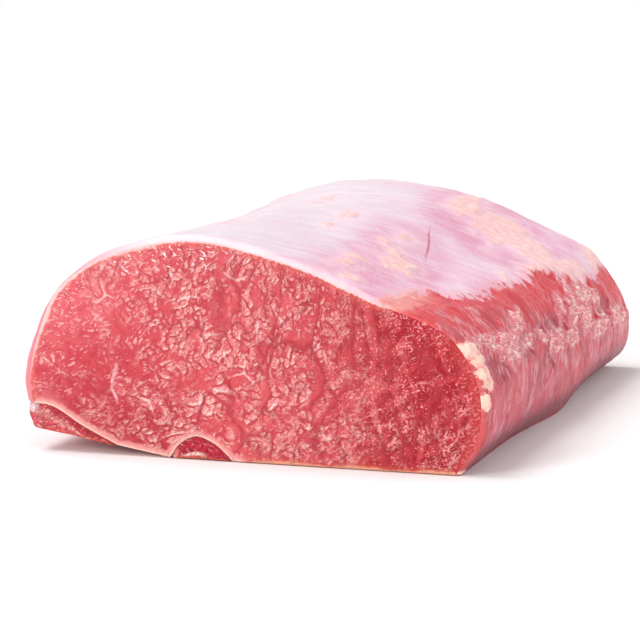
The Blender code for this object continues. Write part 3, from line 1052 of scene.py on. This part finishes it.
def silverskin(finish, look, girth, along, grain, fat):
    """Pearly silverskin, mauve over muscle, with threads and fat; its colour and relief."""
    over = (along - girth * 0.4) / 1.08
    down = (along * 0.4 + girth) / 1.08
    clouds = grain.noise(42, 3)
    pools = grain.warped(40, 12 * MM).noise(26, 3)
    streaks = finish.vector(over * 8, down).noise(40, 4, 0.6)
    threads = finish.vector(over * 26, down).noise(38, 3, 0.6)
    crossing = finish.vector(over, down * 16).noise(55, 3, 0.6)
    ragged = finish.vector(girth * 1.5, along).noise(260, 4, 0.65) - 0.5
    torn = grain.warped(200, 4 * MM).noise(140, 4, 0.65) - 0.5
    fat_mask = (fat + ragged * 3 + torn * 13).rise(-0.1, 0.6)

    # Painted shade: the left flank, out of the light, is duller than the back, and its pale marks are
    # fainter
    mauve = (girth + (clouds - 0.5) * 60 * MM).rise(84 * MM, 146 * MM)
    shaded_flank = (girth + (clouds - 0.5) * 30 * MM).fall(38 * MM, 78 * MM)
    out_of_shade = 1 - shaded_flank * 0.5
    shaded_flank_tone = finish.blend(clouds.rise(0.36, 0.62), tone(222, 184, 194), tone(206, 144, 158))
    around_fat = fat.rise(-15, -4) * girth.rise(108 * MM, 122 * MM)

    # A scratch, where the red shows through
    off, aside = along - SCRATCH_ALONG, girth - SCRATCH_GIRTH
    line = abs(aside * 0.98 + off * 0.19 + (clouds - 0.5) * 3 * MM + ragged * 0.6 * MM)
    scratch = line.fall(0.15 * MM, 0.6 * MM) * abs(off).fall(6 * MM, 27 * MM)

    # Fat: milky where it is thin, cream where it is thick
    milky = (fat + torn * 14).rise(-4.5, 0.5) * (1 - fat_mask)
    grains = grain.warped(300, 1.5 * MM).noise(330, 3, 0.6)
    cream = painted(finish, tone(248, 190, 190), [
        (grains.rise(0.38, 0.62), (*look.fat, 1)),
        (grains.rise(0.60, 0.70) * 0.5, tone(255, 230, 226)),
    ])
    silver = painted(finish, (*look.silver, 1), [
        (mauve, (*look.mauve, 1)),
        # Painted shade over the left flank
        (shaded_flank * 0.95, shaded_flank_tone),
        (pools.rise(0.46, 0.60) * (0.12 + mauve * 0.5), tone(228, 162, 188)),
        (around_fat * (0.35 + 0.5 * clouds.rise(0.42, 0.56)), tone(226, 146, 176)),
        (pools.fall(0.34, 0.48) * (1 - shaded_flank) * 0.5, tone(238, 220, 230)),
        (streaks.rise(0.50, 0.66) * 0.25, tone(224, 160, 188)),
        (streaks.fall(0.34, 0.50) * 0.28 * out_of_shade, tone(247, 230, 239)),
        (threads.rise(0.54, 0.64) * 0.20 * out_of_shade, tone(254, 244, 250)),
        (threads.fall(0.38, 0.46) * 0.16, tone(214, 136, 170)),
        (crossing.rise(0.56, 0.66) * 0.16, tone(252, 240, 246)),
        (scratch * 0.8, tone(196, 62, 92)),
        (milky * 0.55, tone(252, 214, 228)),
        (fat_mask * 0.92, cream),
    ])
    relief = streaks * 0.20 + threads * 0.12 + fat_mask * (0.22 + grains * 0.4)
    return silver, relief


def bare_side(finish, look, girth, along, grain, ragged, torn):
    """Bare side muscle under torn film, with crumbs of fat; its colour, its relief and its fibres."""
    skin, film, foot, crumb, lump, dark, bright = map(
        finish.attribute, ("skin", "film", "foot", "crumb", "lump", "dark", "bright"),
    )
    bent = grain.warped(45, 6 * MM)
    bent_girth, bent_along = bent.part("X"), bent.part("Y")
    leaning = bent_along + bent_girth * 1.1
    crosswise = bent_along * 1.1 - bent_girth
    fibres = finish.vector((bent_along - bent_girth * 0.25) * 5, bent_girth).noise(120, 4, 0.7)
    veils = finish.vector(leaning * 2.0, crosswise).noise(48, 5, 0.62)
    hairs = finish.vector(leaning, crosswise * 0.2).ridges(1 / HAIR_SIZE, 1.0)
    blots = grain.noise(85, 5, 0.66)
    net = grain.warped(220, 2.5 * MM).ridges(1 / NET_SIZE, 1.0)
    windows = finish.vector(girth * 0.5, along).warped(80, 6 * MM).noise(70, 4, 0.6)
    down = skin.fall(-14, -4)

    # Film: in torn veils near the top, nearly whole further down, and painted dark as shade at its foot
    filmed = (film + (veils - 0.5) * 90 + (windows - 0.5) * 90 + ragged * 8).rise(-4, 8)
    veil = finish.most(veils.rise(0.53, 0.60) * down * 0.8, filmed * 0.9)
    film_tone = painted(finish, tone(186, 68, 86), [
        (blots.rise(0.36, 0.58), (*look.film, 1)),
        (fibres.rise(0.50, 0.62) * 0.22, tone(240, 190, 204)),
    ])
    window = windows.fall(0.42, 0.50) * down
    hair = hairs.rise(1.02, 1.22) * down * blots.rise(0.46, 0.56)
    foot_shade = (foot + ragged * 9 + (blots - 0.5) * 10).rise(-3, 4)
    foot_shade_tone = finish.blend(fibres.rise(0.36, 0.62), tone(112, 50, 62), tone(160, 84, 100))

    # Crumbs of fat: rosy below, with cream grains on top, painted shade in the gaps between them and
    # painted highlights beside the gaps
    grains = grain.warped(400, 1.2 * MM).noise(430, 3, 0.65)
    gaps, gap_light = grain.warped(500, 1.0 * MM).ridge_light(CRUMB_SIZE, (-0.20 * MM, 0.10 * MM, 0))
    bed = (crumb + torn * 12).rise(-1.6, 0.4)
    crumbs_mask = (crumb + ragged * 4 + torn * 12 + (grains - 0.5) * 9).rise(0.0, 1.0)
    crumbs = painted(finish, tone(238, 138, 146), [
        (grains.rise(0.36, 0.56), tone(254, 190, 186)),
        (grains.rise(0.54, 0.64) * 0.8, tone(255, 224, 214)),
        (gaps.rise(0.95, 1.2) * 0.6, tone(204, 92, 110)),
        (gap_light.rise(0.1, 0.3) * 0.85, tone(255, 240, 234)),
    ])
    lump_mask = (lump + ragged * 3 + (grains - 0.5) * 2).rise(-0.5, 0.3)
    lump_tone = finish.blend(grains.rise(0.34, 0.54), tone(252, 168, 158), tone(255, 214, 198))
    edge_line = (finish.attribute("depth") + torn * 2).rise(-1.5, -0.6) * (1 - lump_mask)

    lean = painted(finish, tone(206, 36, 54), [
        (blots.rise(0.38, 0.60), (*look.side, 1)),
        ((bright + ragged * 8).rise(-2.5, 2.0) * 0.7, tone(222, 46, 54)),
        ((dark + ragged * 8).rise(-1.5, 1.0) * 0.85, tone(166, 24, 48)),
        (fibres.fall(0.36, 0.48) * 0.24, tone(174, 30, 48)),
        (fibres.rise(0.52, 0.64) * 0.26, tone(242, 146, 150)),
        (net.rise(1.0, 1.3) * blots.rise(0.40, 0.54) * 0.30, tone(240, 160, 166)),
        (window * 0.55, tone(160, 34, 58)),
        (veil * 0.72, film_tone),
        (hair * 0.35, tone(244, 200, 210)),
        # Painted shade at the foot of the side
        (foot_shade * 0.8, foot_shade_tone),
        (bed * 0.8, tone(232, 142, 152)),
        (crumbs_mask * 0.92, crumbs),
        (lump_mask, lump_tone),
        (edge_line * 0.6, tone(222, 100, 96)),
    ])
    relief = fibres * 0.2 + blots * 0.3 + veil * 0.25 + hair * 0.3
    relief = relief + crumbs_mask * (0.3 + grains * 0.2) + lump_mask * grains * 0.3
    return lean, relief, fibres


def skin_finish(look):
    """Silverskin with fat on it over the back, and bare side muscle under torn film below it."""
    finish = Finish(bpy.data.materials.new("silverskin_and_side"))
    girth, along = finish.places()
    grain = finish.vector(girth, along)
    skin, fat, depth, under = map(finish.attribute, ("skin", "fat", "depth", "under"))
    ragged = finish.vector(girth * 1.5, along).noise(260, 4, 0.65) - 0.5
    torn = grain.warped(200, 4 * MM).noise(140, 4, 0.65) - 0.5
    back, back_relief = silverskin(finish, look, girth, along, grain, fat)
    side, side_relief, fibres = bare_side(finish, look, girth, along, grain, ragged, torn)

    # Near the cut the silverskin is thin and pale, and flushed down its left flank
    near_rim = (depth + torn * 3).rise(-2.0, -0.5)
    rim_tone = finish.blend(girth.fall(40 * MM, 75 * MM), tone(248, 216, 218), tone(228, 138, 146))
    flank = girth.fall(22 * MM, 48 * MM) * (depth + torn * 8).rise(-14, -1)
    back = painted(finish, back, [(near_rim * 0.6, rim_tone), (flank * 0.8, tone(222, 124, 134))])

    # The torn lower edge of the silverskin, peach near the cut, and the underside
    feather = skin + ragged * 5 + (fibres - 0.5) * 5 + torn * 18
    shown = feather.rise(-0.5, 0.7)
    peach = along.fall(14 * MM, 40 * MM) * abs(skin + 1.5 + torn * 14).fall(1.5, 5.5)
    belly = painted(finish, tone(206, 104, 114), [
        (grain.noise(42, 3).rise(0.4, 0.6), tone(222, 142, 148)),
        ((depth + torn * 3).rise(-2.6, -1.2), tone(236, 160, 142)),
    ])
    colour = painted(finish, side, [
        (shown, back),
        (abs(feather - 1.0).fall(0.3, 3.5) * 0.4, tone(244, 168, 172)),
        (peach * 0.65, tone(246, 172, 162)),
        (under.rise(0.4, 0.6), belly),
    ])
    relief = finish.node("Mix", {"data_type": "FLOAT"}, {0: shown, 2: side_relief, 3: back_relief})
    return finish.surface({
        "Base Color": colour,
        "Roughness": look.roughness + 0.15 - shown * 0.04 + ragged * 0.15,
        "Normal": finish.bump(relief, SKIN_BUMP),
        "Specular IOR Level": 0.3,
        **seeping((1.0, 0.4, 0.35), 2 * MM),
    })


def strip_surface(finish, look, colour, clouds, light, specks):
    """Ends the material of a strip: the same wet gloss and grainy relief over every colour."""
    return finish.surface({
        "Base Color": colour,
        "Roughness": look.roughness + 0.05 + clouds * 0.1,
        "Normal": finish.bump(light - specks, STRIP_BUMP),
        "Specular IOR Level": 0.4,
    })


def edge_strip_finish(look):
    """Grainy side muscle: pale membrane at its upper left, crimson under the roast, tan at its tip."""
    finish = Finish(bpy.data.materials.new("dark_lean"))
    grain = finish.vector(*finish.places())
    across, up = map(finish.attribute, ("across", "up"))
    clouds = grain.noise(260, 3) - 0.5
    crowds = grain.noise(420, 3) - 0.5
    # Painted shade along the thin crests of the grain and painted highlights beside them
    crests, crest_light = grain.warped(500, 1.2 * MM).ridge_light(EDGE_SPECK_SIZE, STRIP_LIT_STEP)
    specks = crests.rise(0.95, 1.2)
    place = across + clouds * 0.2
    level = up + clouds * 0.4
    film = abs(level - 0.78 + place * 0.9).fall(0.04, 0.20) * place.fall(0.45, 0.75)
    tip = place.rise(0.35, 0.80)
    light = crest_light.rise(0.10, 0.34) * (0.45 + 0.55 * crowds.rise(-0.06, 0.06))
    colour = painted(finish, (*look.edge_strip, 1), [
        (crowds.rise(-0.04, 0.10) * 0.5, tone(238, 122, 132)),
        (tip, tone(200, 50, 52)),
        ((level + place * 0.4).rise(0.80, 0.95) * 0.9, tone(184, 22, 48)),
        (film * 0.85, tone(250, 166, 162)),
        (level.fall(0.05, 0.35) * (0.35 + tip * 0.3), tone(224, 108, 86)),
        (specks * 0.5, tone(176, 22, 44)),
        (light * (0.55 + 0.35 * film + 0.3 * level.fall(0.4, 0.7)), tone(255, 200, 180)),
        ((across + clouds * 0.1).fall(0.05, 0.12) * up.rise(0.60, 0.80), tone(246, 208, 216)),
    ])
    return strip_surface(finish, look, colour, crowds, light, specks)


def middle_strip_finish(look):
    """Deep crimson side muscle with painted highlights and painted shade on its grain, and cream at its
    base.
    """
    finish = Finish(bpy.data.materials.new("deep_lean"))
    grain = finish.vector(*finish.places())
    across, up = map(finish.attribute, ("across", "up"))
    clouds = grain.noise(260, 3) - 0.5
    # Painted shade along the thin crests of the grain and painted highlights beside them
    crests, crest_light = grain.warped(500, 1.4 * MM).ridge_light(MIDDLE_SPECK_SIZE, STRIP_LIT_STEP)
    specks, light = crests.rise(0.95, 1.2), crest_light.rise(0.12, 0.34)
    curl = abs(up - 0.20 + clouds * 0.6).fall(0.05, 0.15) * abs(across - 0.40).fall(0.10, 0.26)
    colour = painted(finish, (*look.middle_strip, 1), [
        (clouds.rise(-0.1, 0.1) * 0.6, tone(178, 8, 44)),
        (specks * 0.5, tone(158, 6, 36)),
        (light * (0.85 - across.rise(0.55, 0.85) * 0.35), tone(250, 150, 152)),
        ((up + clouds * 0.5).fall(0.04, 0.16) * 0.8, tone(226, 108, 84)),
        (curl * 0.9, tone(255, 216, 202)),
        ((across + clouds * 0.2).fall(0.04, 0.16) * 0.7, tone(248, 176, 160)),
    ])
    return strip_surface(finish, look, colour, clouds, light, specks)


# Pieces in the scene


def show(name, mesh, finishes, nodes):
    """Puts a finished mesh in the scene for the solids that it stands for."""
    for finish in finishes:
        mesh.materials.append(finish)
    piece = bpy.data.objects.new(name, mesh)
    bpy.context.scene.collection.objects.link(piece)
    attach(piece, "root")
    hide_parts(*nodes)
    return piece


def colour_setting(name, description, *display):
    """A colour that the user can change, from its display values out of 255."""
    return FloatVectorProperty(
        name=name, description=description, default=tone(*display)[:3], subtype="COLOR", min=0, max=1,
    )


def light_setting(name, description, default):
    """A strength of light that the user can change."""
    return FloatProperty(name=name, description=description, default=default, min=0)


class LoinRoast(bpy.types.PropertyGroup):
    """The colours, the relief and the gloss of the meat."""

    coral: colour_setting("Coral", "Lean of the cut, left of its middle", 206, 70, 80)
    crimson: colour_setting("Crimson", "Lean of the cut's right side", 170, 0, 30)
    # The crinkles' pale tops are partly the meat's own colour and partly painted highlight
    crinkles: colour_setting("Crinkles", "Pale tops of the cut's crinkles", 250, 164, 160)
    silver: colour_setting("Silverskin", "Silverskin over the top of the back", 228, 214, 222)
    mauve: colour_setting("Mauve", "Silverskin over the right of the back", 240, 200, 219)
    fat: colour_setting("Fat", "Patches of fat on the silverskin", 252, 212, 204)
    side: colour_setting("Side muscle", "Bare muscle of the right side", 218, 58, 72)
    film: colour_setting("Film", "Torn film over the right side", 208, 94, 114)
    edge_strip: colour_setting("Edge strip", "Side muscle in the seam at the left", 216, 64, 84)
    middle_strip: colour_setting("Middle strip", "Side muscle under the arch", 200, 26, 60)
    bundles: FloatProperty(
        name="Bundles", description="Height of the muscle bundles on the cuts",
        default=0.5 * MM, min=0, max=2 * MM, unit="LENGTH",
    )
    crumbs: FloatProperty(
        name="Crumbs", description="Height of the crumbs of fat on the right side",
        default=1 * MM, min=0, max=2 * MM, unit="LENGTH",
    )
    roughness: FloatProperty(
        name="Roughness", description="How dull the wet surface is",
        default=0.25, min=0, max=0.8, subtype="FACTOR",
    )


class LoinStage(bpy.types.PropertyGroup):
    """The floor, the lights and the camera."""

    lens: FloatProperty(
        name="Lens", description="Focal length of the camera in millimetres",
        default=112.5, min=20,
    )
    azimuth: FloatProperty(
        name="Azimuth", description="How far the camera stands round to the right of the near cut",
        default=math.radians(16.5), subtype="ANGLE",
    )
    elevation: FloatProperty(
        name="Elevation", description="How far the camera looks down",
        default=math.radians(8), subtype="ANGLE",
    )
    distance: FloatProperty(
        name="Distance", description="From the camera to the point that it looks at",
        default=557 * MM, unit="LENGTH",
    )
    target: FloatVectorProperty(
        name="Target", description="Point that the camera looks at",
        default=(16.3 * MM, -100 * MM, 41.8 * MM), subtype="XYZ",
    )
    floor: FloatVectorProperty(
        name="Floor", description="Colour of the floor",
        default=(0.92, 0.92, 0.92), subtype="COLOR", min=0, max=1,
    )
    key: light_setting("Key light", "Strength of the main light", 1.6)
    front: light_setting("Front light", "Strength of the light on the near cut", 1.15)
    fill: light_setting("Fill light", "Strength of the light on the right side", 0.5)
    sky: light_setting("Sky", "Brightness of the light from above and around", 0.55)


class LOIN_OT_roast(bpy.types.Operator):
    """Builds the main muscle with its cut faces, silverskin, fat and bare side"""

    bl_idname = "loin.roast"
    bl_label = "Roast"

    def execute(self, context):
        look = context.scene.loin_roast
        show("roast", build_loin(look), [skin_finish(look), cut_lean_finish(look)], ["loin"])
        return {"FINISHED"}


class LOIN_OT_strips(bpy.types.Operator):
    """Builds the two strips of dark side muscle under the roast"""

    bl_idname = "loin.strips"
    bl_label = "Side muscles"

    def execute(self, context):
        look = context.scene.loin_roast
        mesh = build_strip("edge_strip", edge_strip_line, 1)
        show("edge_strip", mesh, [edge_strip_finish(look)], ["finger_strip_edge"])
        mesh = build_strip("middle_strip", middle_strip_line, 2)
        show("middle_strip", mesh, [middle_strip_finish(look)], ["finger_strip_middle"])
        return {"FINISHED"}


# Directions that the lights come from, and how wide they are
LIGHTS = {
    "key": ((-0.40, 0.00, 0.92), math.radians(35)),
    "front": ((-0.55, -0.75, 0.42), math.radians(20)),
    "fill": ((0.75, -0.35, 0.55), math.radians(40)),
}
FLOOR_RADIUS = 6
FLOOR_DROP = 0.2 * MM
SENSOR_WIDTH = 36
NEAREST_SEEN = 10 * MM


def add_light(name, towards, strength, width):
    """A broad soft light that comes from far away in one direction."""
    lamp = bpy.data.lights.new(name, "SUN")
    lamp.energy = strength
    lamp.angle = width
    light = bpy.data.objects.new(name, lamp)
    light.location = towards
    light.rotation_euler = Vector(towards).to_track_quat("Z", "Y").to_euler()
    bpy.context.scene.collection.objects.link(light)


def white_room(sky):
    """Surroundings that are white at eye level, and softer above."""
    room = Finish(bpy.data.worlds.new("white_room"))
    up = room.node("TexCoord", {}, {}, "Generated").part("Z")
    level = up.fall(0.10, 0.30)
    strength = sky + level * (1 - sky)
    background = room.node("Background", {}, {"Strength": strength, "Color": (1, 1, 1, 1)})
    return room.finished("OutputWorld", background)


class LOIN_OT_stage(bpy.types.Operator):
    """Adds the white floor, the soft lights and the camera"""

    bl_idname = "loin.stage"
    bl_label = "Stage"

    def execute(self, context):
        settings = context.scene.loin_stage
        scene = context.scene
        scene.view_settings.view_transform = "Standard"

        bm = bmesh.new()
        bmesh.ops.create_circle(bm, cap_ends=True, radius=FLOOR_RADIUS, segments=96)
        bmesh.ops.translate(bm, verts=bm.verts, vec=(0, 0, -FLOOR_DROP))
        mesh = bpy.data.meshes.new("floor")
        bm.to_mesh(mesh)
        bm.free()
        finish = Finish(bpy.data.materials.new("floor"))
        mesh.materials.append(finish.surface({
            "Base Color": (*settings.floor, 1),
            "Roughness": 0.9,
            "Specular IOR Level": 0.0,
        }))
        floor = bpy.data.objects.new("floor", mesh)
        scene.collection.objects.link(floor)

        scene.world = white_room(settings.sky)
        for name, (towards, width) in LIGHTS.items():
            add_light(name, towards, getattr(settings, name), width)

        camera = bpy.data.cameras.new("camera")
        camera.lens = settings.lens
        camera.sensor_width = SENSOR_WIDTH
        camera.clip_start = NEAREST_SEEN
        eye = bpy.data.objects.new("camera", camera)
        level = math.cos(settings.elevation)
        outward = Vector((
            math.sin(settings.azimuth) * level,
            -math.cos(settings.azimuth) * level,
            math.sin(settings.elevation),
        ))
        eye.location = Vector(settings.target) + outward * settings.distance
        eye.rotation_euler = outward.to_track_quat("Z", "Y").to_euler()
        scene.collection.objects.link(eye)
        scene.camera = eye
        return {"FINISHED"}


class LOIN_PT_panel(bpy.types.Panel):
    """Lists the steps and settings of the roast"""

    bl_label = "Boneless Pork Loin"
    bl_idname = "LOIN_PT_panel"
    bl_space_type = "VIEW_3D"
    bl_region_type = "UI"
    bl_category = "Loin"

    def draw(self, context):
        for operator in (LOIN_OT_roast, LOIN_OT_strips, LOIN_OT_stage):
            self.layout.operator(operator.bl_idname)
        scene = context.scene
        for group, settings in ((LoinRoast, scene.loin_roast), (LoinStage, scene.loin_stage)):
            for name in group.__annotations__:
                self.layout.prop(settings, name)


CLASSES = (LoinRoast, LoinStage, LOIN_OT_roast, LOIN_OT_strips, LOIN_OT_stage, LOIN_PT_panel)


def register():
    for item in CLASSES:
        bpy.utils.register_class(item)
    bpy.types.Scene.loin_roast = PointerProperty(type=LoinRoast)
    bpy.types.Scene.loin_stage = PointerProperty(type=LoinStage)


def unregister():
    del bpy.types.Scene.loin_roast
    del bpy.types.Scene.loin_stage
    for item in reversed(CLASSES):
        bpy.utils.unregister_class(item)


def main():
    register()
    bpy.ops.loin.roast()
    bpy.ops.loin.strips()
    bpy.ops.loin.stage()


if __name__ == "__main__":
    main()
